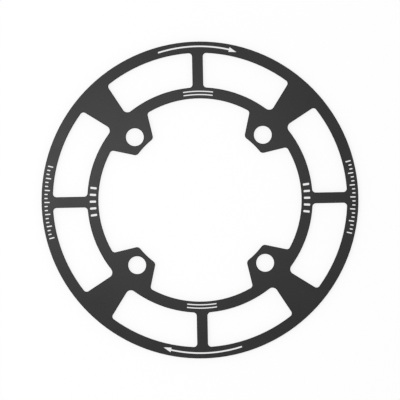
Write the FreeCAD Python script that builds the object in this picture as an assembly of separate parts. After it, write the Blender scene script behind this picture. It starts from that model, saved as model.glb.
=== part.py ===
# Chainring guard for a four-arm crank: one flat plate, cut from sheet and anodised.
# The plate lies on its back face at Z = 0, with the outer, marked face up. The origin is on the
# axis of the bolt circle, and a narrow spoke runs out along each of +X, +Y, -X and -Y.
# Lengths are in millimetres and angles in degrees.

import FreeCAD
import Part

import math
import os

# Plate
PLATE_THICKNESS = 3.0
EDGE_BREAK = 0.3  # chamfer along every edge of both faces

# Outer rim
OUTER_DIAMETER = 182.0
RIM_WIDTH = 6.4

# Hub ring, which ties the bolt tabs together
HUB_RING_BORE = 116.8
HUB_RING_WIDTH = 6.3

# Bolt tabs, one for each arm of the crank
BOLT_COUNT = 4
BOLT_CIRCLE_DIAMETER = 104.0
BOLT_HOLE_DIAMETER = 10.3
TAB_WIDTH = 24.0  # across the tab at the bolt circle
TAB_SIDE_ANGLE = 32.3  # lean of each side from the tab's centre line
TAB_NOSE_WALL = 2.55  # metal between the bolt hole and the tab's nose
TAB_NOSE_RADIUS = 2.5
TAB_ROOT_RADIUS = 2.0

# Spokes: a narrow one between each two tabs, and a flared web behind each tab
SPOKE_WIDTH = 6.2
WEB_WAIST = 11.8  # across the web where it leaves the hub ring
WEB_FLARE_ANGLE = 12.5  # lean of each side from the web's centre line

# Corners of the windows between spokes and webs
WINDOW_CORNER_RADIUS = 2.0
WEB_ROOT_RADIUS = 3.0  # the corner beside the bolt tab

# Cutting tools run this far past both faces
CUT_OVERRUN = 1.0

# Radii and angles that follow from the sizes above
outer_radius = OUTER_DIAMETER / 2
window_outer_radius = outer_radius - RIM_WIDTH
hub_inner_radius = HUB_RING_BORE / 2
window_inner_radius = hub_inner_radius + HUB_RING_WIDTH
bolt_circle_radius = BOLT_CIRCLE_DIAMETER / 2
nose_radius = bolt_circle_radius - BOLT_HOLE_DIAMETER / 2 - TAB_NOSE_WALL
bolt_pitch = 360 / BOLT_COUNT
tab_angle = bolt_pitch / 2  # the first tab, half a pitch from the spoke along +X

ORIGIN = FreeCAD.Vector(0, 0, 0)
Y_AXIS = FreeCAD.Vector(0, 1, 0)
Z_AXIS = FreeCAD.Vector(0, 0, 1)
TOOL_FOOT = -CUT_OVERRUN * Z_AXIS
TOOL_HEIGHT = PLATE_THICKNESS + 2 * CUT_OVERRUN
TOUCHING = 1e-6  # lengths closer than this are the same


def point(along, across, angle):
    """The point at these distances along and across a line that leaves the axis at an angle to +X."""
    return FreeCAD.Rotation(Z_AXIS, angle).multVec(FreeCAD.Vector(along, across, 0))


def patterned(shape):
    """One copy of the shape for each bolt."""
    return [shape.rotated(ORIGIN, Z_AXIS, i * bolt_pitch) for i in range(BOLT_COUNT)]


def round_tool(radius, seam_angle=0.0):
    """A round cutting tool on the plate's axis, with its seam turned to where it gets cut away."""
    tool = Part.makeCylinder(radius, TOOL_HEIGHT, TOOL_FOOT)
    return tool.rotated(ORIGIN, Z_AXIS, seam_angle)


def straight_tool(corners):
    """A straight-sided cutting tool over a polygon in the plate's plane."""
    foot = [corner + TOOL_FOOT for corner in corners]
    outline = Part.makePolygon(foot + foot[:1])
    return Part.Face(outline).extrude(TOOL_HEIGHT * Z_AXIS)


def upright_edges(tool):
    """The edges of a cutting tool that stand square to the plate."""
    return [
        edge
        for edge in tool.Edges
        if edge.BoundBox.XLength < TOUCHING and edge.BoundBox.YLength < TOUCHING
    ]


def upright_edges_at(tool, radius):
    """The upright edges that stand at one distance from the plate's axis."""
    return [
        edge
        for edge in upright_edges(tool)
        if abs(math.hypot(edge.CenterOfMass.x, edge.CenterOfMass.y) - radius) < TOUCHING
    ]


def opening_tool():
    """The opening inside the hub ring, with the bolt tabs standing into it."""
    lean = math.tan(math.radians(TAB_SIDE_ANGLE))
    apex = bolt_circle_radius - TAB_WIDTH / 2 / lean  # where the tab's two sides would meet
    spread = (hub_inner_radius - apex) * lean
    tab = straight_tool(
        [
            point(apex, 0, tab_angle),
            point(hub_inner_radius, -spread, tab_angle),
            point(hub_inner_radius, spread, tab_angle),
        ]
    )
    opening = round_tool(hub_inner_radius, seam_angle=tab_angle).cut(patterned(tab))
    opening = opening.fuse(round_tool(nose_radius)).removeSplitter()
    opening = opening.makeFillet(TAB_NOSE_RADIUS, upright_edges_at(opening, nose_radius))
    return opening.makeFillet(TAB_ROOT_RADIUS, upright_edges_at(opening, hub_inner_radius))


def window_tool():
    """The window between the spoke along +X and the web behind the first tab."""
    lean = math.tan(math.radians(WEB_FLARE_ANGLE))
    reach = OUTER_DIAMETER  # well past the rim

    def web_side(along):
        """A point on the side of the web, this far along its centre line."""
        across = WEB_WAIST / 2 + (along - window_inner_radius) * lean
        return point(along, -across, tab_angle)

    sector = straight_tool(
        [
            point(0, SPOKE_WIDTH / 2, 0),
            point(reach, SPOKE_WIDTH / 2, 0),
            web_side(reach),
            web_side(nose_radius),
        ]
    )
    ring = round_tool(window_outer_radius).cut(round_tool(window_inner_radius))
    window = ring.common(sector)

    bolt = point(bolt_circle_radius, 0, tab_angle)

    def distance_to_bolt(edge):
        return edge.CenterOfMass.distanceToPoint(bolt)

    web_root, *corners = sorted(upright_edges(window), key=distance_to_bolt)
    window = window.makeFillet(WINDOW_CORNER_RADIUS, corners)
    web_root = min(upright_edges(window), key=distance_to_bolt)
    return window.makeFillet(WEB_ROOT_RADIUS, [web_root])


def bolt_hole_tool():
    """The first bolt hole."""
    return round_tool(BOLT_HOLE_DIAMETER / 2).translated(point(bolt_circle_radius, 0, tab_angle))


def guard_plate():
    """The whole guard: a round blank, cut through, with its edges broken."""
    blank = Part.makeCylinder(outer_radius, PLATE_THICKNESS)
    window = window_tool()
    tools = [opening_tool()]
    tools += patterned(window)
    tools += patterned(window.mirror(ORIGIN, Y_AXIS))
    tools += patterned(bolt_hole_tool())
    plate = blank.cut(tools).Solids[0]
    face_edges = [edge for edge in plate.Edges if edge.BoundBox.ZLength < TOUCHING]
    return plate.makeChamfer(EDGE_BREAK, face_edges)


os.makedirs("parts", exist_ok=True)
plate = guard_plate()
plate.exportStep("parts/guard_plate.step")
print("guard_plate is valid:", plate.isValid(), "with", len(plate.Faces), "faces")
print("volume", round(plate.Volume), "cubic millimetres")
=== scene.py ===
"""A flat chainring guard: its anodised finish, its printed marks and the studio that it lies in."""

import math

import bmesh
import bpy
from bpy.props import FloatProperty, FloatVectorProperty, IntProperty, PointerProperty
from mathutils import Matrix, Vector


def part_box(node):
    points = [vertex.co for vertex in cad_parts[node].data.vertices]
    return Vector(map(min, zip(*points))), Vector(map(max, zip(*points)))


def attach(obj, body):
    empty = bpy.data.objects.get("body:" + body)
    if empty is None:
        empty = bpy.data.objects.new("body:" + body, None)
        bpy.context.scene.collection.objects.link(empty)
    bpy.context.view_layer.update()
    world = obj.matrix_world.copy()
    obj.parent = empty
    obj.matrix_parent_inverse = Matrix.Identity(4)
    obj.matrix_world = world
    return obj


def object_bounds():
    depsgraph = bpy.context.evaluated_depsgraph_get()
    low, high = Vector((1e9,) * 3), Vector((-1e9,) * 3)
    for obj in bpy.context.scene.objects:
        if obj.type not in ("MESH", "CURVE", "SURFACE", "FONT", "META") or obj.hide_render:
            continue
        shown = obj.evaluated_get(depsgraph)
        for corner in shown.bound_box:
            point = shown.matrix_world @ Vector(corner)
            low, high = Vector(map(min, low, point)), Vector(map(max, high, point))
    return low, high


bl_info = {
    "name": "Chainring Guard",
    "version": (1, 0, 0),
    "blender": (4, 5, 0),
    "location": "3D View > Sidebar > Guard",
    "description": "Finishes a flat chainring guard, prints its marks and sets it on a studio floor",
    "category": "Object",
}

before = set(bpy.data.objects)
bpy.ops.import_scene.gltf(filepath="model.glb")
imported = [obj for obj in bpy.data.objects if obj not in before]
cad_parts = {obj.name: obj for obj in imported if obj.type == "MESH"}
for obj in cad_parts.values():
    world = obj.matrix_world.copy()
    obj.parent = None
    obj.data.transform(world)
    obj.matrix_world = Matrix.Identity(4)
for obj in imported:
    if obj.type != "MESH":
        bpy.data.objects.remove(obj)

CAD_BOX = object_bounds()

PLATE = "guard_plate"
BODY = "root"
MM = 0.001
PLATE_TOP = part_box(PLATE)[1].z
RIM_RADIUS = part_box(PLATE)[1].x
FLOOR_GAP = 0.02 * MM  # keeps the floor just clear of the plate's back

QUARTER_TURN = math.pi / 2
HALF_TURN = math.pi
RIGHT = 0.0
TOP = QUARTER_TURN


def size_setting(name, description, default):
    """A length, kept in metres and shown in the scene's own unit."""
    return FloatProperty(
        name=name, description=description, default=default, min=0, precision=5, unit="LENGTH"
    )


def place_setting(name, description, default):
    """A place or a shift, in metres along each axis."""
    return FloatVectorProperty(
        name=name,
        description=description,
        default=default,
        size=len(default),
        precision=5,
        unit="LENGTH",
        subtype="XYZ",
    )


def angle_setting(name, description, degrees):
    """An angle, kept in radians and shown in degrees."""
    return FloatProperty(
        name=name, description=description, default=math.radians(degrees), subtype="ANGLE", unit="ROTATION"
    )


def share_setting(name, description, default):
    """A plain number from 0 to 1."""
    return FloatProperty(
        name=name, description=description, default=default, min=0, max=1, subtype="FACTOR"
    )


def colour_setting(name, description, default):
    """A colour, in linear light."""
    return FloatVectorProperty(
        name=name, description=description, default=default, size=3, min=0, max=1, subtype="COLOR"
    )


def count_setting(name, description, default):
    """A whole number of things."""
    return IntProperty(name=name, description=description, default=default, min=1)


class GuardFinish(bpy.types.PropertyGroup):
    """The anodised finish of the plate."""

    dark_tone: colour_setting("Dark tone", "Darkest shade of the dye", (0.004, 0.004, 0.004))
    light_tone: colour_setting("Light tone", "Lightest shade of the dye", (0.0375, 0.0375, 0.0375))
    roughness: share_setting("Roughness", "Roughness of the blasted faces", 0.29)
    edge_roughness: share_setting("Edge roughness", "Roughness of the broken edges", 0.16)
    reflection: share_setting("Reflection", "Mirror strength of the dye: 0.5 is clear lacquer", 0.113)
    grain_size: size_setting("Grain size", "Distance between the grains of the blasted faces", 0.42 * MM)
    grain_depth: size_setting("Grain depth", "Height of the grains of the blasted faces", 0.010 * MM)
    mottle_size: size_setting("Mottle size", "Distance between lighter and darker patches", 16 * MM)
    cut_line_pitch: size_setting("Cut line pitch", "Spacing of the cutter's lines on the walls", 0.16 * MM)
    cut_line_depth: size_setting("Cut line depth", "Depth of the cutter's lines on the walls", 0.010 * MM)
    mottle_tone: share_setting("Mottle tone", "How far the patches sway the shade", 0.19)
    grain_tone: share_setting("Grain tone", "How far the grains sway the shade", 0.57)
    cut_line_tone: share_setting("Cut line tone", "How far the cutter's lines sway the shade", 0.26)
    edge_depth: share_setting("Edge depth", "How much deeper the shade of the broken edges is", 0.5)
    mottle_gloss: share_setting("Mottle gloss", "How far the patches sway the roughness", 0.10)
    grain_gloss: share_setting("Grain gloss", "How far the grains sway the roughness", 0.16)


class GuardMarks(bpy.types.PropertyGroup):
    """The marks printed on the front face."""

    ink_colour: colour_setting("Ink colour", "Colour of the ink", (0.84, 0.84, 0.84))
    ink_wear: share_setting("Ink wear", "How much darker the ink's thin spots are", 0.10)
    ink_roughness: share_setting("Ink roughness", "Roughness of the ink", 0.70)
    ink_thickness: size_setting("Ink thickness", "How far the ink stands off the face", 0.02 * MM)
    ink_grain_size: size_setting("Ink grain size", "Distance between the grains of the ink", 0.18 * MM)
    ink_grain_depth: size_setting("Ink grain depth", "Height of the grains of the ink", 0.004 * MM)
    shift: place_setting("Shift", "How far the whole print lies off the plate's axis", (0, 0.17 * MM))

    arrow_inset: size_setting("Arrow inset", "From the rim's edge in to the arrow's middle", 2.94 * MM)
    arrow_bend: size_setting("Arrow bend", "Radius of the arrow's own arc", 78 * MM)
    arrow_length: size_setting("Arrow length", "Length of the arrow's shaft along its arc", 41.2 * MM)
    arrow_width: size_setting("Arrow width", "Width of the arrow's shaft", 0.84 * MM)
    head_length: size_setting("Head length", "Length of the arrow's head", 4.5 * MM)
    head_width: size_setting("Head width", "Width of the arrow's head", 2.7 * MM)
    head_droop: angle_setting("Head droop", "How far the head's tip turns in from the shaft's line", 7)

    scale_inset: size_setting("Scale inset", "From the rim's edge in to the rim scale's ticks", 1.7 * MM)
    scale_pitch: angle_setting("Scale pitch", "Angle from one tick of the rim scale to the next", 1.5)
    scale_reach: count_setting("Scale reach", "Ticks on each side of the rim scale's middle", 9)
    long_every: count_setting("Long every", "One tick of the rim scale in this many is long", 3)
    long_tick: size_setting("Long tick", "Length of a long tick", 3.0 * MM)
    short_tick: size_setting("Short tick", "Length of a short tick", 1.8 * MM)
    tick_width: size_setting("Tick width", "Width of each tick", 0.65 * MM)

    bar_radius: size_setting("Bar radius", "Distance of the hub ring's bars from the axis", 61.5 * MM)
    bar_count: count_setting("Bar count", "Bars in each row on the hub ring", 5)
    bar_pitch: size_setting("Bar pitch", "Distance from one bar to the next", 3.9 * MM)
    bar_length: size_setting("Bar length", "Length of each bar", 3.6 * MM)
    bar_width: size_setting("Bar width", "Width of each bar", 1.2 * MM)

    stripe_radius: size_setting("Stripe radius", "Radius midway between the hub ring's stripes", 61.3 * MM)
    stripe_gap: size_setting("Stripe gap", "Distance between the stripes' middles", 1.9 * MM)
    stripe_length: size_setting("Stripe length", "Length of the stripes along the hub ring", 17 * MM)
    stripe_width: size_setting("Stripe width", "Width of each stripe", 0.6 * MM)


class GuardStage(bpy.types.PropertyGroup):
    """The studio that the guard lies in."""

    floor_colour: colour_setting("Floor colour", "Colour of the pale floor", (0.95, 0.95, 0.95))
    floor_size: size_setting("Floor size", "Length of the floor's sides", 6.0)
    floor_glow: share_setting("Floor glow", "How much of the floor's white is its own", 0.80)
    fill: share_setting("Fill", "Strength of the soft light from all around", 0.695)
    key_place: place_setting("Key place", "Where the main lamp hangs", (-0.225, 0.031, 0.72))
    key_length: size_setting("Key length", "Long side of the main lamp's soft face", 0.60)
    key_depth: size_setting("Key depth", "Short side of the main lamp's soft face", 0.10)
    key_power: FloatProperty(
        name="Key power", description="Power of the main lamp", default=2.26, min=0, unit="POWER"
    )
    camera_distance: size_setting("Camera distance", "From the front face up to the camera", 1.2)
    picture_width: size_setting("Picture width", "Width of the picture at the front face", 229.6 * MM)
    picture_turn: angle_setting("Picture turn", "How far the guard is turned in the picture", 1.05)


class Value:
    """A number in a finish: an expression on it adds the nodes that work it out."""

    def __init__(self, finish, socket):
        self.finish = finish
        self.socket = socket

    def worked_out(self, operation, *numbers):
        sockets = dict(enumerate(numbers))
        return self.finish.value("ShaderNodeMath", "Value", {"operation": operation}, sockets)

    def __add__(self, other):
        return self.worked_out("ADD", self, other)

    def __radd__(self, other):
        return self.worked_out("ADD", other, self)

    def __sub__(self, other):
        return self.worked_out("SUBTRACT", self, other)

    def __rsub__(self, other):
        return self.worked_out("SUBTRACT", other, self)

    def __mul__(self, other):
        return self.worked_out("MULTIPLY", self, other)

    def __rmul__(self, other):
        return self.worked_out("MULTIPLY", other, self)

    def __truediv__(self, other):
        return self.worked_out("DIVIDE", self, other)

    def __rtruediv__(self, other):
        return self.worked_out("DIVIDE", other, self)

    def __abs__(self):
        return self.worked_out("ABSOLUTE", self)

    def at_least(self, other):
        return self.worked_out("MAXIMUM", self, other)


# Places of a Mix node's colour sockets, which share their names with those of its other kinds
MIX_FACTOR = 0
MIX_FIRST = 6
MIX_SECOND = 7
MIX_RESULT = 2


class Finish:
    """A node tree that is filled one node at a time."""

    def __init__(self, tree, output="ShaderNodeOutputMaterial"):
        self.tree = tree
        self.tree.nodes.clear()
        self.output = output

    def node(self, kind, settings=None, sockets=None):
        """Adds a node, with its settings first and then the values or links of its sockets."""
        node = self.tree.nodes.new(kind)
        for name, setting in (settings or {}).items():
            setattr(node, name, setting)
        for name, value in (sockets or {}).items():
            if isinstance(value, Value):
                value = value.socket
            if isinstance(value, bpy.types.NodeSocket):
                self.tree.links.new(value, node.inputs[name])
            else:
                node.inputs[name].default_value = value
        return node

    def value(self, kind, output, settings=None, sockets=None):
        """The number that a new node gives."""
        return Value(self, self.node(kind, settings, sockets).outputs[output])

    def noise(self, place, spacing):
        """Soft noise around 0, from -0.5 to 0.5, with this spacing in the units of the place."""
        return self.value("ShaderNodeTexNoise", "Fac", None, {"Vector": place, "Scale": 1 / spacing}) - 0.5

    def stretched(self, place, scale):
        """The place with each of its axes scaled by itself."""
        return self.node("ShaderNodeMapping", None, {"Vector": place, "Scale": scale}).outputs["Vector"]

    def blend(self, factor, first, second):
        """A colour from the first to the second as the factor goes from 0 to 1."""
        sockets = {MIX_FACTOR: factor, MIX_FIRST: (*first, 1), MIX_SECOND: (*second, 1)}
        return self.node("ShaderNodeMix", {"data_type": "RGBA"}, sockets).outputs[MIX_RESULT]

    def bumped(self, height):
        """The direction of a surface that rises by this height, in metres."""
        return self.node("ShaderNodeBump", None, {"Height": height, "Distance": 1.0}).outputs["Normal"]

    def mixed(self, factor, first, second):
        """A shader from the first to the second as the factor goes from 0 to 1."""
        return self.node("ShaderNodeMixShader", None, {0: factor, 1: first, 2: second}).outputs["Shader"]

    def surface(self, shader):
        """Makes the shader the finish's surface."""
        self.node(self.output, None, {"Surface": shader})


def new_material(name):
    """An empty material and the finish to fill it with."""
    material = bpy.data.materials.new(name)
    material.use_nodes = True
    return material, Finish(material.node_tree)


EDGE_SLOPE = math.sqrt(0.5)  # how far a broken edge faces up or down
EDGE_SPREAD = 0.2  # slopes this much steeper or flatter aren't broken edges
CUT_LINE_STRETCH = 100  # how much longer a cutter's line is than it is wide


def anodised_black(look):
    """Black dye over blasted aluminium, with the cutter's lines along the walls."""
    material, finish = new_material("anodised_black")
    coordinates = finish.node("ShaderNodeTexCoord").outputs
    place = coordinates["Object"]
    facing = abs(finish.value("ShaderNodeSeparateXYZ", "Z", None, {"Vector": coordinates["Normal"]}))
    wall = 1 - facing
    broken_edge = (1 - abs(facing - EDGE_SLOPE) / EDGE_SPREAD).at_least(0)

    grain = finish.noise(place, look.grain_size) * facing
    mottle = finish.noise(place, look.mottle_size)
    along_wall = finish.stretched(place, (1 / CUT_LINE_STRETCH, 1 / CUT_LINE_STRETCH, 1))
    cut_lines = finish.noise(along_wall, look.cut_line_pitch) * wall

    sway = look.mottle_tone * mottle + look.grain_tone * grain + look.cut_line_tone * cut_lines
    tone = 0.5 + sway - look.edge_depth * broken_edge
    roughness = look.roughness + look.mottle_gloss * mottle + look.grain_gloss * grain
    edge_gloss = look.edge_roughness - look.roughness
    shader = finish.node(
        "ShaderNodeBsdfPrincipled",
        None,
        {
            "Base Color": finish.blend(tone, look.dark_tone, look.light_tone),
            "Roughness": roughness + edge_gloss * broken_edge,
            "Specular IOR Level": look.reflection,
            "Normal": finish.bumped(look.grain_depth * grain + look.cut_line_depth * cut_lines),
        },
    )
    finish.surface(shader.outputs["BSDF"])
    return material


def white_print(marks):
    """Matt white ink with a fine uneven surface."""
    material, finish = new_material("white_print")
    place = finish.node("ShaderNodeTexCoord").outputs["Object"]
    grain = finish.noise(place, marks.ink_grain_size)
    thin_ink = [(1 - marks.ink_wear) * part for part in marks.ink_colour]
    shader = finish.node(
        "ShaderNodeBsdfPrincipled",
        None,
        {
            "Base Color": finish.blend(0.5 + grain, thin_ink, marks.ink_colour),
            "Roughness": marks.ink_roughness + marks.ink_wear * grain,
            "Normal": finish.bumped(marks.ink_grain_depth * grain),
        },
    )
    finish.surface(shader.outputs["BSDF"])
    return material


def at_angle(radius, turn):
    """The step from an arc's centre out to its radius, at this angle from +X."""
    return Vector((radius * math.cos(turn), radius * math.sin(turn), 0))


ARC_STEPS = 24  # straight runs along each arc


def arc_strip(outline, centre, radius, width, middle, sweep):
    """Spins a flat strip along an arc, and gives the two corners that it ends at, the inner one first."""
    start = middle - sweep / 2
    corners = [
        outline.verts.new(centre + at_angle(radius + side * width / 2, start)) for side in (-1, 1)
    ]
    edge = outline.edges.new(corners)
    spun = bmesh.ops.spin(
        outline, geom=[*corners, edge], cent=centre, axis=(0, 0, 1), angle=sweep, steps=ARC_STEPS
    )
    ends = [part for part in spun["geom_last"] if isinstance(part, bmesh.types.BMVert)]
    return sorted(ends, key=lambda corner: (corner.co - centre).length)


def arrow(outline, marks):
    """An arrow that bends along the top of the rim and points clockwise."""
    centre = Vector((0, RIM_RADIUS - marks.arrow_inset - marks.arrow_bend, 0))
    sweep = marks.arrow_length / marks.arrow_bend
    head_sweep = marks.head_length / marks.arrow_bend
    middle = TOP + head_sweep / 2  # half a head back, so that the whole arrow is centred
    inner, outer = arc_strip(outline, centre, marks.arrow_bend, marks.arrow_width, middle, -sweep)
    across = (outer.co - inner.co).normalized()
    forward = Matrix.Rotation(-QUARTER_TURN - marks.head_droop, 3, "Z") @ across
    neck = (inner.co + outer.co) / 2
    barb = across * marks.head_width / 2
    head = [outline.verts.new(neck + step) for step in (-barb, forward * marks.head_length, barb)]
    outline.faces.new([inner, *head, outer])


CORNER_SHARE = 0.3  # how much of a bar's width each rounded corner takes
CORNER_STEPS = 3  # straight runs round each corner


def rounded_bar(outline, length, width, radius, turn):
    """A bar that points at the axis, with its middle at this radius and angle."""
    place = Matrix.Rotation(turn, 4, "Z") @ Matrix.Translation((radius, 0, 0))
    shape = Matrix.Diagonal((length, width, 1, 1))
    corners = bmesh.ops.create_grid(
        outline, x_segments=1, y_segments=1, size=0.5, matrix=place @ shape
    )["verts"]
    bmesh.ops.bevel(
        outline,
        geom=corners,
        offset=CORNER_SHARE * width,
        affect="VERTICES",
        segments=CORNER_STEPS,
        profile=0.5,
        material=-1,
    )


def rim_scale(outline, marks):
    """A row of ticks on the right of the rim, like a plain scale."""
    for i in range(-marks.scale_reach, marks.scale_reach + 1):
        tick = marks.short_tick if i % marks.long_every else marks.long_tick
        middle = RIM_RADIUS - marks.scale_inset - tick / 2
        rounded_bar(outline, tick, marks.tick_width, middle, RIGHT + i * marks.scale_pitch)


def hub_bars(outline, marks):
    """A row of plain bars on the right of the hub ring."""
    pitch = marks.bar_pitch / marks.bar_radius
    first = -(marks.bar_count - 1) / 2
    for i in range(marks.bar_count):
        turn = RIGHT + (first + i) * pitch
        rounded_bar(outline, marks.bar_length, marks.bar_width, marks.bar_radius, turn)


def hub_stripes(outline, marks):
    """Two thin stripes along the top of the hub ring."""
    sweep = marks.stripe_length / marks.stripe_radius
    for side in (-1, 1):
        radius = marks.stripe_radius + side * marks.stripe_gap / 2
        arc_strip(outline, Vector(), radius, marks.stripe_width, TOP, sweep)


def print_mark(name, draw, marks, turn):
    """Draws an outline, turns it to its place and prints it on the front face as a piece of its own."""
    outline = bmesh.new()
    draw(outline, marks)
    flat = outline.faces[:]
    raised = bmesh.ops.extrude_face_region(outline, geom=flat)["geom"]
    tops = [part for part in raised if isinstance(part, bmesh.types.BMVert)]
    foot = PLATE_TOP - marks.ink_thickness  # as deep in the face as the ink stands off it
    bmesh.ops.translate(outline, verts=tops, vec=(0, 0, 2 * marks.ink_thickness))
    place = Matrix.Translation((*marks.shift, foot)) @ Matrix.Rotation(turn, 4, "Z")
    bmesh.ops.transform(outline, matrix=place, verts=outline.verts)
    bmesh.ops.recalc_face_normals(outline, faces=outline.faces)
    mesh = bpy.data.meshes.new(name)
    outline.to_mesh(mesh)
    outline.free()
    mesh.materials.append(bpy.data.materials.get("white_print") or white_print(marks))
    piece = bpy.data.objects.new(name, mesh)
    bpy.context.scene.collection.objects.link(piece)
    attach(piece, BODY)


class GUARD_OT_finish_plate(bpy.types.Operator):
    """Give the plate its black anodised finish"""

    bl_idname = "guard.finish_plate"
    bl_label = "Finish Plate"

    def execute(self, context):
        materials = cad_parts[PLATE].data.materials
        materials.clear()
        materials.append(anodised_black(context.scene.guard_finish))
        return {"FINISHED"}


class GUARD_OT_print_arrows(bpy.types.Operator):
    """Print the two arrows that show which way the guard turns"""

    bl_idname = "guard.print_arrows"
    bl_label = "Print Arrows"

    def execute(self, context):
        marks = context.scene.guard_marks
        print_mark("direction_arrow_top", arrow, marks, 0)
        print_mark("direction_arrow_bottom", arrow, marks, HALF_TURN)
        return {"FINISHED"}


class GUARD_OT_print_rim_scales(bpy.types.Operator):
    """Print a plain scale of ticks on each side of the rim"""

    bl_idname = "guard.print_rim_scales"
    bl_label = "Print Rim Scales"

    def execute(self, context):
        marks = context.scene.guard_marks
        print_mark("rim_scale_right", rim_scale, marks, 0)
        print_mark("rim_scale_left", rim_scale, marks, HALF_TURN)
        return {"FINISHED"}


class GUARD_OT_print_hub_bars(bpy.types.Operator):
    """Print a row of plain bars on each side of the hub ring"""

    bl_idname = "guard.print_hub_bars"
    bl_label = "Print Hub Bars"

    def execute(self, context):
        marks = context.scene.guard_marks
        print_mark("hub_bars_right", hub_bars, marks, 0)
        print_mark("hub_bars_left", hub_bars, marks, HALF_TURN)
        return {"FINISHED"}


class GUARD_OT_print_hub_stripes(bpy.types.Operator):
    """Print a pair of thin stripes at the top and bottom of the hub ring"""

    bl_idname = "guard.print_hub_stripes"
    bl_label = "Print Hub Stripes"

    def execute(self, context):
        marks = context.scene.guard_marks
        print_mark("hub_stripes_top", hub_stripes, marks, 0)
        print_mark("hub_stripes_bottom", hub_stripes, marks, HALF_TURN)
        return {"FINISHED"}


WHITE = (1, 1, 1, 1)


def seen_directly(finish):
    """1 for rays that show the background, directly or in gloss and glass, and 0 for rays that light."""
    rays = finish.node("ShaderNodeLightPath").outputs
    camera, glossy, through = (
        Value(finish, rays[name]) for name in ("Is Camera Ray", "Is Glossy Ray", "Is Transmission Ray")
    )
    return camera.at_least(glossy).at_least(through)


def floor_material(stage):
    """A pale floor that shows white around a soft shadow."""
    material, finish = new_material("pale_floor")
    pale = finish.node("ShaderNodeBsdfDiffuse", None, {"Color": (*stage.floor_colour, 1)})
    white = finish.node("ShaderNodeEmission", None, {"Color": WHITE, "Strength": 1.0})
    glow = seen_directly(finish) * stage.floor_glow
    finish.surface(finish.mixed(glow, pale.outputs["BSDF"], white.outputs["Emission"]))
    return material


def lay_floor(stage):
    """One wide square under the plate."""
    square = bmesh.new()
    bmesh.ops.create_grid(square, x_segments=1, y_segments=1, size=stage.floor_size / 2)
    bmesh.ops.translate(square, verts=square.verts, vec=(0, 0, CAD_BOX[0].z - FLOOR_GAP))
    mesh = bpy.data.meshes.new("floor")
    square.to_mesh(mesh)
    square.free()
    mesh.materials.append(floor_material(stage))
    floor = bpy.data.objects.new("floor", mesh)
    bpy.context.scene.collection.objects.link(floor)


def light_the_world(stage):
    """Soft light from all around, with a white background."""
    world = bpy.data.worlds.new("studio")
    world.use_nodes = True
    finish = Finish(world.node_tree, "ShaderNodeOutputWorld")
    fill = finish.node("ShaderNodeBackground", None, {"Color": WHITE, "Strength": stage.fill})
    white = finish.node("ShaderNodeBackground", None, {"Color": WHITE, "Strength": 1.0})
    lit = fill.outputs["Background"]
    shown = white.outputs["Background"]
    finish.surface(finish.mixed(seen_directly(finish), lit, shown))
    bpy.context.scene.world = world


def hang_key_lamp(stage):
    """A long soft lamp above the plate and to its left, aimed at its middle."""
    lamp = bpy.data.lights.new("key_lamp", "AREA")
    lamp.shape = "RECTANGLE"
    lamp.size = stage.key_length
    lamp.size_y = stage.key_depth
    lamp.energy = stage.key_power
    holder = bpy.data.objects.new("key_lamp", lamp)
    holder.location = stage.key_place
    # Turned about X and Y alone, so that its long side stays along X
    away = Vector(stage.key_place).normalized()
    holder.rotation_euler = (-math.asin(away.y), math.atan2(away.x, away.z), 0)
    bpy.context.scene.collection.objects.link(holder)


def set_camera(stage):
    """A long lens straight above the plate."""
    camera = bpy.data.cameras.new("camera")
    camera.lens = camera.sensor_width * stage.camera_distance / stage.picture_width
    holder = bpy.data.objects.new("camera", camera)
    holder.location = (0, 0, PLATE_TOP + stage.camera_distance)
    holder.rotation_euler = (0, 0, -stage.picture_turn)
    bpy.context.scene.collection.objects.link(holder)
    bpy.context.scene.camera = holder


class GUARD_OT_set_stage(bpy.types.Operator):
    """Lay the pale floor, light it softly and set the camera"""

    bl_idname = "guard.set_stage"
    bl_label = "Set Stage"

    def execute(self, context):
        stage = context.scene.guard_stage
        lay_floor(stage)
        light_the_world(stage)
        hang_key_lamp(stage)
        set_camera(stage)
        context.scene.view_settings.view_transform = "Standard"
        return {"FINISHED"}


class GUARD_PT_panel(bpy.types.Panel):
    """Lists the steps that dress the guard and the settings that they use"""

    bl_label = "Chainring Guard"
    bl_idname = "GUARD_PT_panel"
    bl_space_type = "VIEW_3D"
    bl_region_type = "UI"
    bl_category = "Guard"

    def draw(self, context):
        for operator in OPERATORS:
            self.layout.operator(operator.bl_idname)
        for name, group in SETTINGS.items():
            box = self.layout.box()
            for setting in group.__annotations__:
                box.prop(getattr(context.scene, name), setting)


SETTINGS = {"guard_finish": GuardFinish, "guard_marks": GuardMarks, "guard_stage": GuardStage}
OPERATORS = (
    GUARD_OT_finish_plate,
    GUARD_OT_print_arrows,
    GUARD_OT_print_rim_scales,
    GUARD_OT_print_hub_bars,
    GUARD_OT_print_hub_stripes,
    GUARD_OT_set_stage,
)
CLASSES = (*SETTINGS.values(), *OPERATORS, GUARD_PT_panel)


def register():
    for cls in CLASSES:
        bpy.utils.register_class(cls)
    for name, group in SETTINGS.items():
        setattr(bpy.types.Scene, name, PointerProperty(type=group))


def unregister():
    for name in SETTINGS:
        delattr(bpy.types.Scene, name)
    for cls in reversed(CLASSES):
        bpy.utils.unregister_class(cls)


def main():
    """Dresses the guard step by step."""
    register()
    bpy.ops.guard.finish_plate()
    bpy.ops.guard.print_arrows()
    bpy.ops.guard.print_rim_scales()
    bpy.ops.guard.print_hub_bars()
    bpy.ops.guard.print_hub_stripes()
    bpy.ops.guard.set_stage()


if __name__ == "__main__":
    main()
